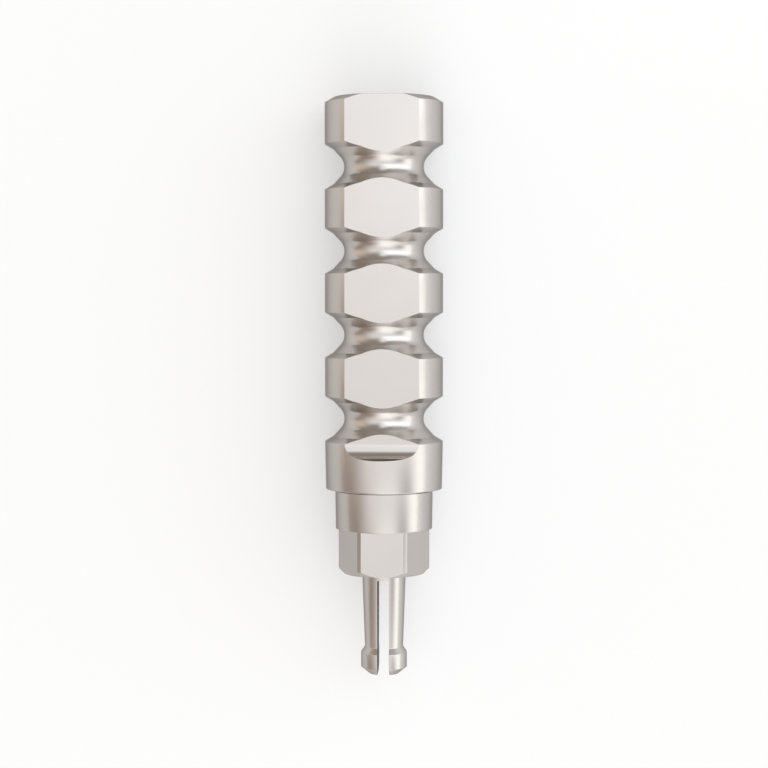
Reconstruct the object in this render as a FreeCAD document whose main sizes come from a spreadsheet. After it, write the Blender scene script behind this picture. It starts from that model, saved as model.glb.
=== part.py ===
import FreeCAD, Part
import math
import os

import Sketcher

NODE = "impression_coping"
FULL_TURN = 360
QUARTER_TURN = 90
HEXAGON_SIDES = 6

# Driving dimensions in millimetres, the flank angle in degrees. Heights run along the coping's own axis and
# start at the platform seat, the collar's underside that rests on the implant.
DIMENSIONS = [
    ("bead_diameter", 3.5, "outside of the retention beads and of the collar's top"),
    ("neck_diameter", 2.35, "bottom of the retention grooves"),
    ("bead_pitch", 2.48, "from one groove to the next"),
    ("bead_count", 4, "beads above the collar, one groove under each"),
    ("top_bead_length", 1.36, "head end bead, with its rim"),
    ("groove_radius", 0.43, "rounded bottom of a groove"),
    ("flank_angle", 43, "between a groove's flank and the axis"),
    ("rim_width", 0.25, "bevel on every bead's rim, measured along the radius"),
    ("rim_height", 0.15, "the same bevel, measured along the axis"),
    ("flats_width", 2.75, "across the two flats that key the coping in the impression"),
    ("flats_floor", 0.94, "lower end of the flats above the seat"),
    ("cutter_radius", 0.47, "rounded run-out that the flats' cutter leaves in the collar"),
    ("collar_height", 1.41, "from the seat to the lowest groove"),
    ("collar_foot_diameter", 3.45, "collar at the seat, the implant's platform"),
    ("ring_top_diameter", 2.9, "centring ring under the seat"),
    ("ring_foot_diameter", 2.87, "the same ring at its foot"),
    ("ring_height", 1.19, "length of the centring ring"),
    ("edge_break", 0.03, "broken edges at the foot of the collar and of the ring"),
    ("hexagon_width", 2.4, "across the flats of the anti-rotation hexagon"),
    ("hexagon_corner_diameter", 2.7, "the hexagon's turned corners"),
    ("hexagon_height", 1.33, "length of the hexagon"),
    ("hexagon_bevel", 0.15, "turned lead-in at the hexagon's foot"),
    ("stem_top_diameter", 1.3, "snap stem under the hexagon"),
    ("stem_foot_diameter", 1.14, "snap stem above its snap ring"),
    ("stem_length", 2.21, "tapered length of the snap stem"),
    ("snap_diameter", 1.37, "snap ring that clicks into the implant"),
    ("shoulder_length", 0.17, "upper cone of the snap ring"),
    ("snap_length", 0.44, "straight part of the snap ring"),
    ("tip_length", 0.2, "lead-in cone at the tip"),
    ("tip_diameter", 0.88, "end face of the tip"),
    ("slot_width", 0.35, "slot that parts the stem into two spring fingers"),
    ("slot_root", 0.18, "solid stem left between the slot and the hexagon"),
    ("cut_clearance", 0.5, "how far the cutting profiles reach past the metal"),
]


# Sheet of the driving dimensions
def add_sheet(doc):
    sheet = doc.addObject("Spreadsheet::Sheet", "Sizes")
    for row, (alias, value, meaning) in enumerate(DIMENSIONS, start=1):
        sheet.set(f"A{row}", meaning)
        sheet.set(f"B{row}", str(value))
        sheet.setAlias(f"B{row}", alias)
    doc.recompute()


# Heights and radii that follow from the sheet, as expressions
BEAD = "Sizes.bead_diameter / 2"
NECK = "Sizes.neck_diameter / 2"
ARC_HALF = "Sizes.groove_radius * sin(Sizes.flank_angle)"
ARC_RISE = "Sizes.groove_radius * (1 - cos(Sizes.flank_angle))"
FLANK_END = f"{BEAD} - Sizes.rim_width"
FLANK_HALF = f"{ARC_HALF} + ({FLANK_END} - {NECK} - {ARC_RISE}) / tan(Sizes.flank_angle)"
GROOVE_HALF = f"{FLANK_HALF} + Sizes.rim_height"
GROOVE_HEIGHT = f"Sizes.collar_height + {GROOVE_HALF}"
HEAD_TOP = f"{GROOVE_HEIGHT} + Sizes.bead_pitch * (Sizes.bead_count - 1) + {GROOVE_HALF} + Sizes.top_bead_length"
FLAT = "Sizes.flats_width / 2"
COLLAR_FOOT = "Sizes.collar_foot_diameter / 2"
RING_TOP = "Sizes.ring_top_diameter / 2"
RING_FOOT = "Sizes.ring_foot_diameter / 2"
RING_END = "0 - Sizes.ring_height"
HEXAGON_FLAT = "Sizes.hexagon_width / 2"
HEXAGON_CORNER = "Sizes.hexagon_corner_diameter / 2"
HEXAGON_END = f"{RING_END} - Sizes.hexagon_height"
STEM_END = f"{HEXAGON_END} - Sizes.stem_length"
SHOULDER_END = f"{STEM_END} - Sizes.shoulder_length"
SNAP_END = f"{SHOULDER_END} - Sizes.snap_length"
TIP_END = f"{SNAP_END} - Sizes.tip_length"
SNAP = "Sizes.snap_diameter / 2"


def origin_feature(body, role):
    return next(item for item in body.Origin.OriginFeatures if item.Role == role)


def measure(doc, text):
    return float(doc.Sizes.evalExpression(text))


# Ties one coordinate of a corner to its expression. A corner at zero lies on the sketch's own axis.
def tie_corner(sketch, kind, corner, place, text):
    axis = {"DistanceX": -2, "DistanceY": -1}[kind]
    if text == "0":
        sketch.addConstraint(Sketcher.Constraint("PointOnObject", corner, 2, axis))
        return
    index = sketch.addConstraint(Sketcher.Constraint(kind, -1, 1, corner, 2, place))
    sketch.setExpression(f"Constraints[{index}]", text)


# A closed outline on one of the body's own planes. Each corner is a pair of expressions, across and up.
# An arc ends at the corner that arcs names, turns counter-clockwise and has a radius and a centre.
def add_outline(doc, body, name, plane, corners, arcs):
    sketch = body.newObject("Sketcher::SketchObject", name)
    sketch.AttachmentSupport = [(origin_feature(body, plane), "")]
    sketch.MapMode = "FlatFace"
    places = [FreeCAD.Vector(measure(doc, across), measure(doc, up), 0) for across, up in corners]
    for corner, end in enumerate(places):
        start = places[corner - 1]
        if corner in arcs:
            radius, (across, up) = arcs[corner]
            centre = FreeCAD.Vector(measure(doc, across), measure(doc, up), 0)
            circle = Part.Circle(centre, FreeCAD.Vector(0, 0, 1), measure(doc, radius))
            angles = [math.atan2(point.y - centre.y, point.x - centre.x) for point in (start, end)]
            sketch.addGeometry(Part.ArcOfCircle(circle, *angles))
        else:
            sketch.addGeometry(Part.LineSegment(start, end))
    for corner, (across, up) in enumerate(corners):
        following = (corner + 1) % len(corners)
        sketch.addConstraint(Sketcher.Constraint("Coincident", corner, 2, following, 1))
        tie_corner(sketch, "DistanceX", corner, places[corner].x, across)
        tie_corner(sketch, "DistanceY", corner, places[corner].y, up)
    for corner, (radius, _) in arcs.items():
        index = sketch.addConstraint(Sketcher.Constraint("Radius", corner, measure(doc, radius)))
        sketch.setExpression(f"Constraints[{index}]", radius)
    doc.recompute()
    return sketch


# Makes a finished feature the body's tip, and stops if a cut took no metal
def finish_feature(doc, body, feature, volume_before=None):
    body.Tip = feature
    doc.recompute()
    volume = feature.Shape.Volume
    if volume_before is not None and volume >= volume_before:
        raise RuntimeError(f"{feature.Name} cuts nothing")
    return volume


# The blank as it comes off the lathe, from the head end down to the snap tip
def turn_blank(doc, body):
    corners = [
        ("0", HEAD_TOP),
        ("0", TIP_END),
        ("Sizes.tip_diameter / 2", TIP_END),
        (SNAP, SNAP_END),
        (SNAP, SHOULDER_END),
        ("Sizes.stem_foot_diameter / 2", STEM_END),
        ("Sizes.stem_top_diameter / 2", HEXAGON_END),
        (f"{HEXAGON_CORNER} - Sizes.hexagon_bevel", HEXAGON_END),
        (HEXAGON_CORNER, f"{HEXAGON_END} + Sizes.hexagon_bevel"),
        (HEXAGON_CORNER, RING_END),
        (f"{RING_FOOT} - Sizes.edge_break", RING_END),
        (RING_FOOT, f"{RING_END} + Sizes.edge_break"),
        (RING_TOP, "0"),
        (f"{COLLAR_FOOT} - Sizes.edge_break", "0"),
        (COLLAR_FOOT, "Sizes.edge_break"),
        (BEAD, "Sizes.collar_height"),
        (BEAD, f"{HEAD_TOP} - Sizes.rim_height"),
        (FLANK_END, HEAD_TOP),
    ]
    sketch = add_outline(doc, body, "blank_outline", "XZ_Plane", corners, {})
    blank = body.newObject("PartDesign::Revolution", "turned_blank")
    blank.Profile = sketch
    blank.ReferenceAxis = (sketch, ["V_Axis"])
    blank.Angle = FULL_TURN
    return finish_feature(doc, body, blank)


# Retention grooves: a rounded bottom, straight flanks and the beads' rim bevels, repeated up the head
def turn_grooves(doc, body, volume):
    outside = f"{BEAD} + Sizes.cut_clearance"
    outer_half = f"{GROOVE_HALF} + Sizes.cut_clearance * Sizes.rim_height / Sizes.rim_width"
    corners = [
        (outside, f"{GROOVE_HEIGHT} - ({outer_half})"),
        (outside, f"{GROOVE_HEIGHT} + {outer_half}"),
        (FLANK_END, f"{GROOVE_HEIGHT} + {FLANK_HALF}"),
        (f"{NECK} + {ARC_RISE}", f"{GROOVE_HEIGHT} + {ARC_HALF}"),
        (f"{NECK} + {ARC_RISE}", f"{GROOVE_HEIGHT} - {ARC_HALF}"),
        (FLANK_END, f"{GROOVE_HEIGHT} - ({FLANK_HALF})"),
    ]
    bottom = ("Sizes.groove_radius", (f"{NECK} + Sizes.groove_radius", GROOVE_HEIGHT))
    sketch = add_outline(doc, body, "groove_outline", "XZ_Plane", corners, {4: bottom})
    groove = body.newObject("PartDesign::Groove", "lowest_groove")
    groove.Profile = sketch
    groove.ReferenceAxis = (sketch, ["V_Axis"])
    groove.Angle = FULL_TURN
    volume = finish_feature(doc, body, groove, volume)
    grooves = body.newObject("PartDesign::LinearPattern", "retention_grooves")
    grooves.Originals = [groove]
    grooves.Direction = (origin_feature(body, "Z_Axis"), [""])
    grooves.Mode = "Spacing"
    grooves.setExpression("Offset", "Sizes.bead_pitch")
    grooves.setExpression("Occurrences", "Sizes.bead_count")
    return finish_feature(doc, body, grooves, volume)


# Pocket of a closed outline, cut through the whole body to both sides of the outline's plane
def cut_through(doc, body, name, sketch, volume):
    pocket = body.newObject("PartDesign::Pocket", name)
    pocket.Profile = sketch
    pocket.SideType = "Symmetric"
    pocket.Type = "ThroughAll"
    return pocket, finish_feature(doc, body, pocket, volume)


# The flat milled down the front of all beads into the collar, where the cutter leaves its own radius, and its
# twin at the back
def mill_flats(doc, body, volume):
    outside = f"0 - {BEAD} - Sizes.cut_clearance"
    centre = (f"0 - {FLAT} - Sizes.cutter_radius", "Sizes.flats_floor + Sizes.cutter_radius")
    corners = [
        (outside, f"{HEAD_TOP} + Sizes.cut_clearance"),
        (outside, "Sizes.flats_floor"),
        (centre[0], "Sizes.flats_floor"),
        (f"0 - {FLAT}", centre[1]),
        (f"0 - {FLAT}", f"{HEAD_TOP} + Sizes.cut_clearance"),
    ]
    run_out = ("Sizes.cutter_radius", centre)
    sketch = add_outline(doc, body, "flat_outline", "YZ_Plane", corners, {3: run_out})
    front, volume = cut_through(doc, body, "front_flat", sketch, volume)
    back = body.newObject("PartDesign::Mirrored", "back_flat")
    back.Originals = [front]
    back.MirrorPlane = (origin_feature(body, "XZ_Plane"), [""])
    return finish_feature(doc, body, back, volume)


# The hexagon: one flat milled below the ring, then turned to all sides
def mill_hexagon(doc, body, volume):
    outside = f"0 - {HEXAGON_CORNER} - Sizes.cut_clearance"
    below = f"{HEXAGON_END} - Sizes.cut_clearance"
    corners = [
        (outside, RING_END),
        (outside, below),
        (f"0 - {HEXAGON_FLAT}", below),
        (f"0 - {HEXAGON_FLAT}", RING_END),
    ]
    sketch = add_outline(doc, body, "hexagon_flat_outline", "YZ_Plane", corners, {})
    side, volume = cut_through(doc, body, "hexagon_flat", sketch, volume)
    hexagon = body.newObject("PartDesign::PolarPattern", "hexagon")
    hexagon.Originals = [side]
    hexagon.Axis = (origin_feature(body, "Z_Axis"), [""])
    hexagon.Angle = FULL_TURN
    hexagon.Occurrences = HEXAGON_SIDES
    return finish_feature(doc, body, hexagon, volume)


# The slot, cut from the tip up through stem and snap ring, which leaves two spring fingers
def saw_slot(doc, body, volume):
    half = "Sizes.slot_width / 2"
    below = f"{TIP_END} - Sizes.cut_clearance"
    above = f"{HEXAGON_END} - Sizes.slot_root"
    corners = [(half, below), (half, above), (f"0 - {half}", above), (f"0 - {half}", below)]
    sketch = add_outline(doc, body, "slot_outline", "XZ_Plane", corners, {})
    _, volume = cut_through(doc, body, "spring_slot", sketch, volume)
    return volume


# Lays the coping on its back flat, the way it comes to rest on a table. It touches at the head end's flat and at
# the collar just below the flats, so that the head end dips. Its long axis runs along Y with the head at +Y.
def lay_down(doc, body):
    collar_rise = "(Sizes.flats_floor - Sizes.edge_break) / (Sizes.collar_height - Sizes.edge_break)"
    collar_radius = measure(doc, f"{COLLAR_FOOT} + ({BEAD} - {COLLAR_FOOT}) * {collar_rise}")
    span = measure(doc, f"{HEAD_TOP} - Sizes.flats_floor")
    dip = math.degrees(math.atan((collar_radius - measure(doc, FLAT)) / span))
    lying = FreeCAD.Rotation(FreeCAD.Vector(1, 0, 0), -QUARTER_TURN - dip)
    body.Placement = FreeCAD.Placement(FreeCAD.Vector(), lying)
    doc.recompute()
    box = body.Shape.optimalBoundingBox(False, False)
    body.Placement = FreeCAD.Placement(FreeCAD.Vector(-box.Center.x, -box.Center.y, -box.ZMin), lying)
    doc.recompute()


def check_document(doc, body):
    failed = [item.Name for item in doc.Objects if {"Invalid", "Error"} & set(item.State)]
    if failed:
        raise RuntimeError(f"failed objects: {failed}")
    if body.Shape.isNull() or not body.Shape.isValid() or len(body.Shape.Solids) != 1:
        raise RuntimeError(f"{body.Label} is not one valid solid")


def build_coping():
    doc = FreeCAD.newDocument("impression_coping")
    add_sheet(doc)
    body = doc.addObject("PartDesign::Body", "coping")
    body.Label = NODE
    volume = turn_blank(doc, body)
    volume = turn_grooves(doc, body, volume)
    volume = mill_flats(doc, body, volume)
    volume = mill_hexagon(doc, body, volume)
    volume = saw_slot(doc, body, volume)
    lay_down(doc, body)
    check_document(doc, body)
    return body


coping = build_coping()
os.makedirs("parts", exist_ok=True)
coping.Shape.exportStep(f"parts/{coping.Label}.step")
print(coping.Label, "volume", round(coping.Shape.Volume, 3), "mm3", coping.Shape.optimalBoundingBox(False, False))
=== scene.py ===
import math

import bmesh
import bpy
from bpy.props import FloatProperty, FloatVectorProperty, IntProperty, PointerProperty
from mathutils import Matrix, Vector


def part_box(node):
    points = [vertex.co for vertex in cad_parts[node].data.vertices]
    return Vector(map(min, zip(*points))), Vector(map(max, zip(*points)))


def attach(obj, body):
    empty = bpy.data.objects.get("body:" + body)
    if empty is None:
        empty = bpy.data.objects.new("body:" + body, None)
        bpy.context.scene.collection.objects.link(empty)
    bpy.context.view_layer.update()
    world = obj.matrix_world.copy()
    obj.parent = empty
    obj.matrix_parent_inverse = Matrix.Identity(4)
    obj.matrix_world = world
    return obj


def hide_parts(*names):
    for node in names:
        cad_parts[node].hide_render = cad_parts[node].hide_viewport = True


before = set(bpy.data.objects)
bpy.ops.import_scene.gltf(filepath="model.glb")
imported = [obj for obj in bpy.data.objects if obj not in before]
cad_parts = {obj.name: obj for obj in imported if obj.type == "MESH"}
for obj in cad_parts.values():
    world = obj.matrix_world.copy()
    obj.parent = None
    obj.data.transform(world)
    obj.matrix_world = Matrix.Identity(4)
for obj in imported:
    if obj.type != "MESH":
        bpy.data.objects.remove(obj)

bl_info = {
    "name": "Impression coping",
    "version": (1, 0, 0),
    "blender": (4, 5, 0),
    "location": "View3D > Sidebar > Coping",
    "description": "Turns, mills and finishes a snap-in impression coping and sets up its studio",
    "category": "Object",
}

MM = 0.001
NODE = "impression_coping"
FULL_TURN = 2 * math.pi
HEXAGON_SIDES = 6

# How finely the round forms are divided
TURN_STEPS = 256
GROOVE_STEPS = 16
EDGE_STEPS = 3

# The cutters stand this far clear of the metal that they take off
CUT_CLEARANCE = 0.5 * MM

# Edges that turn by more than this stay sharp
SHARP_ANGLE = math.radians(40)

# Width of a patch of thicker oxide
OXIDE_PATCH = 1 * MM

# How finely the noise breaks up the oxide and the tool lines, and how many rays look for a close edge
OXIDE_DETAIL = 2
LINE_DETAIL = 1
EDGE_SAMPLES = 6

# Half the width of the table, which reaches far past what a view of the coping shows
TABLE_HALF = 1000 * MM


# Colours and properties
def linear(hex_colour):
    """An sRGB hex value as linear red, green and blue"""
    channels = [int(hex_colour[start:start + 2], 16) / 255 for start in (1, 3, 5)]
    return [c / 12.92 if c <= 0.04045 else ((c + 0.055) / 1.055) ** 2.4 for c in channels]


def length(name, description, millimetres):
    return FloatProperty(name=name, description=description, default=millimetres * MM, unit="LENGTH",
                         precision=5)


def angle(name, description, degrees):
    return FloatProperty(name=name, description=description, default=math.radians(degrees), subtype="ANGLE")


def share(name, description, value):
    return FloatProperty(name=name, description=description, default=value, min=0, max=1, subtype="FACTOR")


def colour(name, description, hex_colour):
    return FloatVectorProperty(name=name, description=description, default=linear(hex_colour),
                               subtype="COLOR", size=3, min=0, max=1)


# Sizes and finishes that a user would change
class CopingSizes(bpy.types.PropertyGroup):
    bead_diameter: length("Bead diameter", "Outside of the retention beads", 3.5)
    neck_diameter: length("Neck diameter", "Bottom of the retention grooves", 2.35)
    bead_pitch: length("Bead pitch", "From one groove to the next", 2.48)
    bead_count: IntProperty(name="Beads", description="Beads above the collar", default=4, min=1)
    top_bead_length: length("Top bead length", "Head end bead with its rim", 1.36)
    groove_radius: length("Groove radius", "Rounded bottom of a groove", 0.43)
    flank_angle: angle("Flank angle", "Between a groove's flank and the axis", 43)
    rim_width: length("Rim width", "Rim bevel along the radius", 0.25)
    rim_height: length("Rim height", "Rim bevel along the axis", 0.15)
    flats_width: length("Flats width", "Across the front and back flat", 2.75)
    flats_floor: length("Flats floor", "Lower end of the flats above the seat", 0.94)
    cutter_radius: length("Cutter radius", "Run-out of the flats in the collar", 0.47)
    collar_height: length("Collar height", "Seat to lowest groove", 1.41)
    collar_foot_diameter: length("Collar foot diameter", "Collar at the seat", 3.45)
    ring_top_diameter: length("Ring top diameter", "Centring ring under the seat", 2.9)
    ring_foot_diameter: length("Ring foot diameter", "Centring ring at its foot", 2.87)
    seat_relief: length("Seat relief", "Width and depth of the fine groove where ring and seat meet", 0.06)
    ring_height: length("Ring height", "Length of the centring ring", 1.19)
    hexagon_width: length("Hexagon width", "Across the hexagon's flats", 2.4)
    hexagon_corner_diameter: length("Hexagon corners", "The hexagon's turned corners", 2.7)
    hexagon_height: length("Hexagon height", "Length of the hexagon", 1.33)
    hexagon_bevel: length("Hexagon bevel", "Turned lead-in at the hexagon's foot", 0.15)
    stem_top_diameter: length("Stem top diameter", "Stem under the hexagon", 1.3)
    stem_foot_diameter: length("Stem foot diameter", "Stem above the snap ring", 1.14)
    stem_length: length("Stem length", "Tapered length of the stem", 2.21)
    snap_diameter: length("Snap diameter", "Snap ring", 1.37)
    shoulder_length: length("Shoulder length", "Upper cone of the snap ring", 0.17)
    snap_length: length("Snap length", "Straight part of the snap ring", 0.44)
    tip_length: length("Tip length", "Lead-in cone at the tip", 0.2)
    tip_diameter: length("Tip diameter", "End face of the tip", 0.88)
    slot_width: length("Slot width", "Slot between the two spring fingers", 0.35)
    slot_root: length("Slot root", "Solid stem above the slot", 0.18)
    edge_radius: length("Edge radius", "Rounding left on the turned edges", 0.018)


class CopingFinish(bpy.types.PropertyGroup):
    metal: colour("Metal", "Bare titanium alloy, where it is clean", "#C4BFBB")
    metal_dulled: colour("Dulled metal", "Bare titanium alloy, where its oxide is thicker", "#BFBAB6")
    # The slot's walls are painted darker than the bare metal, as painted shade in the slot; only their
    # rougher, coarser lines are real
    sawn_with_painted_shade: colour("Sawn metal", "The slot's walls, whose coarse lines hold some of the light", "#9A9691")
    sawn_dulled_with_painted_shade: colour("Dulled sawn metal", "The slot's walls, where the oxide is thicker", "#95918C")
    slant: colour("Slant", "How much of its shine titanium keeps where it is seen at a slant", "#B4B3B2")
    turned_roughness: share("Turned roughness", "Roughness of the turned surfaces", 0.21)
    milled_roughness: share("Milled roughness", "Roughness of the milled flats", 0.13)
    sawn_roughness: share("Sawn roughness", "Roughness of the slot's walls", 0.45)
    roughness_spread: share("Roughness spread", "How far the tool lines vary the roughness", 0.03)
    turning_feed: length("Turning feed", "From one turning line to the next", 0.05)
    milling_feed: length("Milling feed", "From one cutter line to the next", 0.09)
    line_depth: length("Line depth", "Depth of the turning and milling lines", 0.00025)
    sawn_depth: length("Sawn depth", "Depth of the saw's lines", 0.0015)
    broken_edge: length("Broken edge", "How far the light catches a milled edge", 0.02)


class CopingStage(bpy.types.PropertyGroup):
    table: colour("Table", "Pale table under the coping", "#E7E7E7")
    table_roughness: share("Table roughness", "Roughness of the table's satin face", 0.2)
    table_glow: share("Table glow", "How much of the table shows white, without its shadow", 0.35)
    camera_distance: length("Camera distance", "From the coping's axis", 56.7)
    camera_yaw: angle("Camera yaw", "Turned about the coping's axis towards +X", 2.8)
    camera_pitch: angle("Camera pitch", "Leant towards the head end", 2.83)
    frame_width: length("Frame width", "Picture's width at the coping's axis", 22.81)
    aim_height: length("Aim height", "Above the platform seat, where the camera aims", 3.1)


# The turned outline of the coping, from tip to head end, as radius and height above the seat
class Outline:
    def __init__(self, sizes):
        self.bead = sizes.bead_diameter / 2
        self.neck = sizes.neck_diameter / 2
        self.flank_end = self.bead - sizes.rim_width
        turn = sizes.flank_angle
        arc_half = sizes.groove_radius * math.sin(turn)
        arc_rise = sizes.groove_radius * (1 - math.cos(turn))
        self.flank_half = arc_half + (self.flank_end - self.neck - arc_rise) / math.tan(turn)
        # Where the two flanks of a groove would meet, below its rounded bottom
        self.flanks_meet = self.neck - sizes.groove_radius * (1 / math.cos(turn) - 1)
        self.groove_half = self.flank_half + sizes.rim_height
        lowest_groove = sizes.collar_height + self.groove_half
        self.grooves = [lowest_groove + step * sizes.bead_pitch for step in range(sizes.bead_count)]
        self.head_top = self.grooves[-1] + self.groove_half + sizes.top_bead_length
        self.ring_end = -sizes.ring_height
        self.hexagon_end = self.ring_end - sizes.hexagon_height
        self.stem_end = self.hexagon_end - sizes.stem_length
        self.shoulder_end = self.stem_end - sizes.shoulder_length
        self.snap_end = self.shoulder_end - sizes.snap_length
        self.tip_end = self.snap_end - sizes.tip_length

    def corners(self, sizes):
        """Corners as radius, height and rounding"""
        hexagon = sizes.hexagon_corner_diameter / 2
        snap = sizes.snap_diameter / 2
        ring_top = sizes.ring_top_diameter / 2
        ring_root = ring_top - sizes.seat_relief
        edges = [
            (sizes.tip_diameter / 2, self.tip_end),
            (snap, self.snap_end),
            (snap, self.shoulder_end),
            (sizes.stem_foot_diameter / 2, self.stem_end),
            (sizes.stem_top_diameter / 2, self.hexagon_end),
            (hexagon - sizes.hexagon_bevel, self.hexagon_end),
            (hexagon, self.hexagon_end + sizes.hexagon_bevel),
            (hexagon, self.ring_end),
            (sizes.ring_foot_diameter / 2, self.ring_end),
        ]
        corners = [(radius, height, sizes.edge_radius) for radius, height in edges]
        # The relief under the seat is too fine to be rounded
        corners += [(ring_top, -sizes.seat_relief, 0), (ring_root, -sizes.seat_relief, 0), (ring_root, 0, 0)]
        corners.append((sizes.collar_foot_diameter / 2, 0, sizes.edge_radius))
        for height in self.grooves:
            corners += [
                (self.bead, height - self.groove_half, sizes.edge_radius),
                (self.flank_end, height - self.flank_half, sizes.edge_radius),
                (self.flanks_meet, height, sizes.groove_radius),
                (self.flank_end, height + self.flank_half, sizes.edge_radius),
                (self.bead, height + self.groove_half, sizes.edge_radius),
            ]
        corners.append((self.bead, self.head_top - sizes.rim_height, sizes.edge_radius))
        corners.append((self.flank_end, self.head_top, sizes.edge_radius))
        return corners

    def points(self, sizes):
        """The outline with its corners rounded, from the axis at the tip to the axis at the head"""
        corners = [(0, self.tip_end, 0)] + self.corners(sizes) + [(0, self.head_top, 0)]
        places = [Vector((radius, height)) for radius, height, _ in corners]
        points = [places[0]]
        for before, corner, after, (_, _, rounding) in zip(places, places[1:], places[2:], corners[1:]):
            steps = EDGE_STEPS if rounding == sizes.edge_radius else GROOVE_STEPS
            points += rounded(corner, before, after, rounding, steps)
        return points + [places[-1]]


def rounded(corner, before, after, radius, steps):
    """Points of a fillet between two straight runs of the outline, or the corner itself where it is sharp"""
    if radius == 0:
        return [corner]
    back, ahead = (before - corner).normalized(), (after - corner).normalized()
    half = back.angle(ahead) / 2
    reach = radius / math.tan(half)
    centre = corner + (back + ahead).normalized() * radius / math.sin(half)
    start, end = corner + back * reach - centre, corner + ahead * reach - centre
    ways = [start.lerp(end, step / steps).normalized() for step in range(steps + 1)]
    return [centre + way * radius for way in ways]


# Turning and cutting
def mesh_object(name, vertices, faces, material):
    form = bmesh.new()
    corners = [form.verts.new(vertex) for vertex in vertices]
    for face in faces:
        form.faces.new([corners[index] for index in face])
    bmesh.ops.recalc_face_normals(form, faces=form.faces)
    mesh = bpy.data.meshes.new(name)
    form.to_mesh(mesh)
    form.free()
    shape = bpy.data.objects.new(name, mesh)
    bpy.context.scene.collection.objects.link(shape)
    mesh.materials.append(material)
    return shape


def turned_blank(points, material):
    """The outline spun about the coping's axis"""
    vertices = []
    for point in points[1:-1]:
        for step in range(TURN_STEPS):
            turn = FULL_TURN * step / TURN_STEPS
            vertices.append((point.x * math.cos(turn), point.x * math.sin(turn), point.y))
    vertices += [(0, 0, points[0].y), (0, 0, points[-1].y)]
    foot, head = len(vertices) - 2, len(vertices) - 1
    last_ring = foot - TURN_STEPS
    faces = []
    for step in range(TURN_STEPS):
        following = (step + 1) % TURN_STEPS
        faces.append((foot, following, step))
        faces.append((head, last_ring + step, last_ring + following))
        for low in range(0, last_ring, TURN_STEPS):
            high = low + TURN_STEPS
            faces.append((low + step, low + following, high + following, high + step))
    return mesh_object("coping_metal", vertices, faces, material)


def prism(name, profile, low, high, material):
    """A closed outline in the Y and Z plane, run along X"""
    count = len(profile)
    vertices = [(x, y, z) for x in (low, high) for y, z in profile]
    sides = [(i, (i + 1) % count, count + (i + 1) % count, count + i) for i in range(count)]
    ends = [tuple(range(count)), tuple(range(count, 2 * count))]
    return mesh_object(name, vertices, sides + ends, material)


def flat_cutter(outline, sizes, side, material):
    """What the mill takes off the head on one side, with its rounded run-out in the collar"""
    flat, radius, floor = sizes.flats_width / 2, sizes.cutter_radius, sizes.flats_floor
    outside = outline.bead + CUT_CLEARANCE
    top = outline.head_top + CUT_CLEARANCE
    profile = [(outside, top), (outside, floor)]
    for step in range(GROOVE_STEPS + 1):
        turn = FULL_TURN / 4 * step / GROOVE_STEPS
        profile.append((flat + radius * (1 - math.sin(turn)), floor + radius * (1 - math.cos(turn))))
    profile.append((flat, top))
    return prism("flat_cutter", [(side * y, z) for y, z in profile], -outside, outside, material)


def hexagon_cutter(outline, sizes, material):
    """A ring round the hexagon, six-sided inside and out"""
    inner = sizes.hexagon_width / 2 / math.cos(math.pi / HEXAGON_SIDES)
    outer = inner + sizes.hexagon_corner_diameter
    vertices = []
    for radius in (inner, outer):
        for height in (outline.hexagon_end - CUT_CLEARANCE, outline.ring_end):
            for corner in range(HEXAGON_SIDES):
                turn = FULL_TURN * corner / HEXAGON_SIDES
                vertices.append((radius * math.cos(turn), radius * math.sin(turn), height))
    inner_low, inner_high, outer_low, outer_high = (block * HEXAGON_SIDES for block in range(4))
    rings = (inner_low, inner_high, outer_high, outer_low)
    walls = list(zip(rings, rings[1:] + rings[:1]))
    faces = []
    for here in range(HEXAGON_SIDES):
        there = (here + 1) % HEXAGON_SIDES
        for near, far in walls:
            faces.append((near + here, near + there, far + there, far + here))
    return mesh_object("hexagon_cutter", vertices, faces, material)


def slot_cutter(outline, sizes, material):
    """The saw's path between the two spring fingers"""
    low, high = outline.tip_end - CUT_CLEARANCE, outline.hexagon_end - sizes.slot_root
    profile = [(-outline.bead, low), (outline.bead, low), (outline.bead, high), (-outline.bead, high)]
    return prism("slot_cutter", profile, -sizes.slot_width / 2, sizes.slot_width / 2, material)


def settle(shape):
    """Applies the modifiers, so that the piece is a plain mesh"""
    bpy.context.view_layer.update()
    settled = bpy.data.meshes.new_from_object(shape.evaluated_get(bpy.context.evaluated_depsgraph_get()))
    shape.modifiers.clear()
    shape.data = settled


def cut_away(shape, cutters):
    """Takes the cutters' room out of the shape, and gives the cut faces the cutter's material"""
    for cutter in cutters:
        cut = shape.modifiers.new("cut", "BOOLEAN")
        cut.operation = "DIFFERENCE"
        cut.solver = "EXACT"
        cut.material_mode = "TRANSFER"
        cut.object = cutter
    settle(shape)
    for cutter in cutters:
        bpy.data.meshes.remove(cutter.data)


def keep_edges_crisp(shape):
    """Shades round forms smooth, and parts them at corners and where one finish meets another"""
    form = bmesh.new()
    form.from_mesh(shape.data)
    for face in form.faces:
        face.smooth = True
    for edge in form.edges:
        finishes = {face.material_index for face in edge.link_faces}
        edge.smooth = len(finishes) == 1 and edge.calc_face_angle(0) < SHARP_ANGLE
    form.to_mesh(shape.data)
    form.free()
    weighted = shape.modifiers.new("weighted", "WEIGHTED_NORMAL")
    weighted.keep_sharp = True
    settle(shape)


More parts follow.
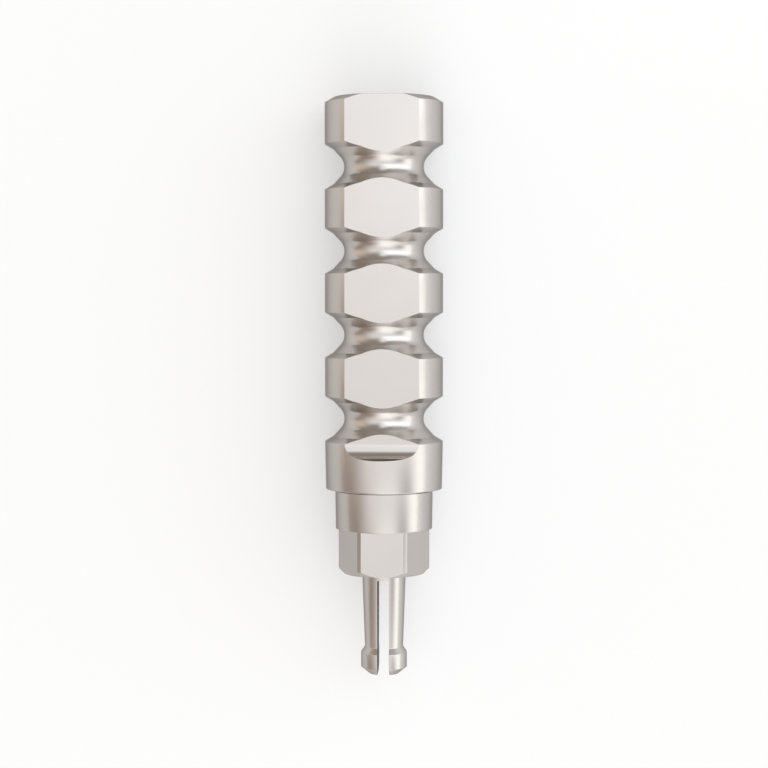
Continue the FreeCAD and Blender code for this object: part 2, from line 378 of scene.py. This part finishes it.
# Where the coping lies: on its back flat's head end and its collar, with the head end towards +Y
class Lying:
    def __init__(self, outline, sizes):
        # The collar is a slight cone, and it touches the table where the flats end
        foot_share = 1 - sizes.flats_floor / sizes.collar_height
        collar = outline.bead + (sizes.collar_foot_diameter / 2 - outline.bead) * foot_share
        dip = math.atan((collar - sizes.flats_width / 2) / (outline.head_top - sizes.flats_floor))
        self.turn = Matrix.Rotation(-math.pi / 2 - dip, 3, "X")
        self.axis = self.turn @ Vector((0, 0, 1))
        self.front = self.turn @ Vector((0, -1, 0))
        low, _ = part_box(NODE)
        touching = self.turn @ Vector((0, collar, sizes.flats_floor))
        tip = self.turn @ Vector((0, sizes.tip_diameter / 2, outline.tip_end))
        self.seat = Vector((0, low.y - tip.y, low.z - touching.z))

    def matrix(self):
        return Matrix.Translation(self.seat) @ self.turn.to_4x4()


# Materials
def add(tree, kind, settings=None, inputs=None):
    """Adds a node, with its settings, and its inputs as values or as links from other nodes' outputs"""
    node = tree.nodes.new("ShaderNode" + kind)
    for name, value in (settings or {}).items():
        setattr(node, name, value)
    for socket, value in (inputs or {}).items():
        if isinstance(value, bpy.types.NodeSocket):
            tree.links.new(value, node.inputs[socket])
        else:
            node.inputs[socket].default_value = value
    return node


def machined_titanium(name, finish, tones, axis, roughness, feed, depth):
    """Bare titanium alloy, straight from the machine: a warm grey with faint tool lines across the axis"""
    material = bpy.data.materials.new(name)
    material.use_nodes = True
    tree = material.node_tree
    shader = tree.nodes["Principled BSDF"]
    shader.inputs["Metallic"].default_value = 1
    # Titanium mirrors less than other metals at a slant, which draws a dark line round the outline
    shader.inputs["Specular Tint"].default_value = (*finish.slant, 1)
    place = add(tree, "TexCoord").outputs["Object"]
    # The oxide is a little thicker in places
    oxide = add(tree, "TexNoise", inputs={"Vector": place, "Scale": 1 / OXIDE_PATCH, "Detail": OXIDE_DETAIL})
    tint = add(tree, "Mix", {"data_type": "RGBA"}, {
        "Factor": oxide.outputs["Fac"], "A": (*tones[0], 1), "B": (*tones[1], 1)})
    tree.links.new(tint.outputs["Result"], shader.inputs["Base Color"])
    # The tool's lines: real ones are some hundredths of a millimetre apart
    height = add(tree, "VectorMath", {"operation": "DOT_PRODUCT"}, {0: place, 1: axis}).outputs["Value"]
    lines = add(tree, "TexNoise", {"noise_dimensions": "1D"}, {
        "W": height, "Scale": 1 / feed, "Detail": LINE_DETAIL})
    worn = add(tree, "MapRange", inputs={
        "Value": lines.outputs["Fac"],
        "To Min": roughness - finish.roughness_spread, "To Max": roughness + finish.roughness_spread})
    tree.links.new(worn.outputs["Result"], shader.inputs["Roughness"])
    edge = add(tree, "Bevel", {"samples": EDGE_SAMPLES}, {"Radius": finish.broken_edge})
    bump = add(tree, "Bump", inputs={
        "Strength": 1, "Distance": depth, "Height": lines.outputs["Fac"], "Normal": edge.outputs["Normal"]})
    tree.links.new(bump.outputs["Normal"], shader.inputs["Normal"])
    return material


# The studio
def aim_camera(scene, stage, lying):
    """The photograph's view: over the front flat, a little to its right and towards the head end"""
    aim = lying.seat + lying.axis * stage.aim_height
    side = lying.front * math.cos(stage.camera_yaw) + Vector((math.sin(stage.camera_yaw), 0, 0))
    outward = side * math.cos(stage.camera_pitch) + lying.axis * math.sin(stage.camera_pitch)
    outward.normalize()
    across = lying.axis.cross(outward).normalized()
    camera = bpy.data.objects.new("camera", bpy.data.cameras.new("camera"))
    scene.collection.objects.link(camera)
    place = Matrix((across, outward.cross(across), outward)).transposed().to_4x4()
    place.translation = aim + outward * stage.camera_distance
    camera.matrix_world = place
    camera.data.lens = camera.data.sensor_width * stage.camera_distance / stage.frame_width
    camera.data.clip_start = MM
    scene.camera = camera


# The light tent: its cloth, and the soft panels on its wall, each over the ones before it. A panel is given
# as its band round the coping, counted in degrees from overhead towards +X, its band along the coping,
# counted from its middle towards the head end, and its strength and tint. A band is its middle, half its
# width and the softness of its edge
WHITE, WARM, AMBER, COOL = "#FFFFFF", "#FFF1E3", "#FFE4D5", "#F7FBFF"
TENT_CLOTH = (0.44, WARM)
TENT_PANELS = (
    ("overhead", (5, 55, 45), (-30, 50, 35), 1.3, WHITE),
    ("overhead, foot half", (0, 50, 35), (-55, 30, 35), 1.95, WHITE),
    ("right, head half", (45, 47, 17), (21, 18, 11), 2.15, COOL),
    ("right strip", (75, 22, 30), (-15, 20, 15), 1.95, WHITE),
    ("dark gap", (50, 15, 30), (-25, 15, 35), 0.65, WHITE),
    ("left glow", (-85, 35, 50), (15, 20, 35), 1, WARM),
    ("left, low", (-105, 20, 40), (-40, 15, 30), 2.3, WHITE),
    ("right, foot end", (60, 40, 50), (-65, 25, 40), 1.65, WHITE),
    ("left shade", (-55, 35, 50), (-45, 25, 50), 0.5, AMBER),
    ("overhead slit", (0, 10, 15), (35, 15, 25), 1.55, COOL),
    ("head end", (105, 75, 50), (60, 25, 25), 0.65, WHITE),
)


def inside(tree, value, middle, half_width, softness):
    """One inside a band of angles, zero outside it, with a soft edge; the angles are in degrees"""
    away = add(tree, "Math", {"operation": "SUBTRACT"}, {0: value, 1: math.radians(middle)})
    away = add(tree, "Math", {"operation": "ABSOLUTE"}, {0: away.outputs["Value"]})
    return add(tree, "MapRange", {"interpolation_type": "SMOOTHSTEP"}, {
        "Value": away.outputs["Value"], "From Min": math.radians(half_width - softness / 2),
        "From Max": math.radians(half_width + softness / 2), "To Min": 1, "To Max": 0}).outputs["Result"]


def light_tent(scene):
    """The world as a tent of pale cloth round the coping, which its metal mirrors"""
    world = bpy.data.worlds.new("light_tent")
    world.use_nodes = True
    tree = world.node_tree
    way = add(tree, "SeparateXYZ", inputs={"Vector": add(tree, "TexCoord").outputs["Generated"]}).outputs
    around = add(tree, "Math", {"operation": "ARCTAN2"}, {0: way["X"], 1: way["Z"]}).outputs["Value"]
    along = add(tree, "Math", {"operation": "ARCSINE"}, {0: way["Y"]}).outputs["Value"]
    strength, tint = TENT_CLOTH
    light = [channel * strength for channel in linear(tint)] + [1]
    for name, round_band, long_band, strength, tint in TENT_PANELS:
        lit = add(tree, "Math", {"operation": "MULTIPLY"}, {
            0: inside(tree, around, *round_band), 1: inside(tree, along, *long_band)}).outputs["Value"]
        panel = [channel * strength for channel in linear(tint)] + [1]
        light = add(tree, "Mix", {"data_type": "RGBA", "label": name}, {
            "Factor": lit, "A": light, "B": panel}).outputs["Result"]
    tree.links.new(light, tree.nodes["Background"].inputs["Color"])
    scene.world = world


def pale_table(stage):
    """A satin white sheet under the coping; part of it shows white to the eye and in the metal, so that the
    coping's shadow on it stays faint"""
    corners = [(x * TABLE_HALF, y * TABLE_HALF, 0) for x, y in ((-1, -1), (1, -1), (1, 1), (-1, 1))]
    material = bpy.data.materials.new("satin_white_acrylic")
    material.use_nodes = True
    tree = material.node_tree
    shader = tree.nodes["Principled BSDF"]
    shader.inputs["Base Color"].default_value = (*stage.table, 1)
    shader.inputs["Roughness"].default_value = stage.table_roughness
    rays = add(tree, "LightPath").outputs
    seen = add(tree, "Math", {"operation": "MAXIMUM"}, {0: rays["Is Camera Ray"], 1: rays["Is Glossy Ray"]})
    seen = add(tree, "Math", {"operation": "MAXIMUM"}, {
        0: seen.outputs["Value"], 1: rays["Is Transmission Ray"]})
    glow = add(tree, "Math", {"operation": "MULTIPLY"}, {0: seen.outputs["Value"], 1: stage.table_glow})
    white = add(tree, "Emission", inputs={"Strength": 1})
    both = add(tree, "MixShader", inputs={
        0: glow.outputs["Value"], 1: shader.outputs["BSDF"], 2: white.outputs["Emission"]})
    tree.links.new(both.outputs["Shader"], tree.nodes["Material Output"].inputs["Surface"])
    mesh_object("table", corners, [(0, 1, 2, 3)], material)


class COPING_OT_turn_and_mill(bpy.types.Operator):
    """Turn the blank, mill its flats and hexagon, saw its slot and lay it where the frame's solid lies"""

    bl_idname = "coping.turn_and_mill"
    bl_label = "Coping"

    def execute(self, context):
        sizes, finish = context.scene.coping_sizes, context.scene.coping_finish
        outline = Outline(sizes)
        lying = Lying(outline, sizes)
        bare = (finish.metal, finish.metal_dulled)
        # Fine lines round the bar blur what it mirrors into soft stripes along it
        turned = machined_titanium("turned_titanium", finish, bare, lying.axis, finish.turned_roughness,
                                   finish.turning_feed, finish.line_depth)
        # The cutter leaves the flats smoother, and each mirrors its part of the tent as one even sheen
        milled = machined_titanium("milled_titanium", finish, bare, lying.axis, finish.milled_roughness,
                                   finish.milling_feed, finish.line_depth)
        # The saw leaves coarse lines, which take the gleam out of the slot's walls. The walls' colour is
        # painted darker than the bare metal, as painted shade in the slot
        dark = (finish.sawn_with_painted_shade, finish.sawn_dulled_with_painted_shade)
        along_y = Vector((0, 1, 0))
        sawn_with_painted_shade = machined_titanium("sawn_titanium_painted_shade", finish, dark, along_y, finish.sawn_roughness,
                                 finish.milling_feed, finish.sawn_depth)
        coping = turned_blank(outline.points(sizes), turned)
        cutters = [flat_cutter(outline, sizes, side, milled) for side in (-1, 1)]
        cutters.append(hexagon_cutter(outline, sizes, milled))
        cutters.append(slot_cutter(outline, sizes, sawn_with_painted_shade))
        cut_away(coping, cutters)
        keep_edges_crisp(coping)
        coping.data.transform(lying.matrix())
        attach(coping, "root")
        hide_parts(NODE)
        return {"FINISHED"}


class COPING_OT_studio(bpy.types.Operator):
    """Set up the table, the light tent and the camera"""

    bl_idname = "coping.studio"
    bl_label = "Studio"

    def execute(self, context):
        sizes, stage = context.scene.coping_sizes, context.scene.coping_stage
        pale_table(stage)
        light_tent(context.scene)
        aim_camera(context.scene, stage, Lying(Outline(sizes), sizes))
        context.scene.view_settings.view_transform = "Standard"
        return {"FINISHED"}


class COPING_PT_panel(bpy.types.Panel):
    bl_idname = "COPING_PT_panel"
    bl_label = "Impression coping"
    bl_space_type = "VIEW_3D"
    bl_region_type = "UI"
    bl_category = "Coping"

    def draw(self, context):
        for operator in (COPING_OT_turn_and_mill, COPING_OT_studio):
            self.layout.operator(operator.bl_idname)
        scene = context.scene
        for group in (scene.coping_sizes, scene.coping_finish, scene.coping_stage):
            for name in group.__annotations__:
                self.layout.prop(group, name)


CLASSES = (
    CopingSizes, CopingFinish, CopingStage,
    COPING_OT_turn_and_mill, COPING_OT_studio, COPING_PT_panel,
)


def register():
    for item in CLASSES:
        bpy.utils.register_class(item)
    bpy.types.Scene.coping_sizes = PointerProperty(type=CopingSizes)
    bpy.types.Scene.coping_finish = PointerProperty(type=CopingFinish)
    bpy.types.Scene.coping_stage = PointerProperty(type=CopingStage)


def unregister():
    del bpy.types.Scene.coping_stage
    del bpy.types.Scene.coping_finish
    del bpy.types.Scene.coping_sizes
    for item in reversed(CLASSES):
        bpy.utils.unregister_class(item)


def main():
    register()
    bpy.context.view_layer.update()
    bpy.ops.coping.turn_and_mill()
    bpy.ops.coping.studio()


if __name__ == "__main__":
    main()
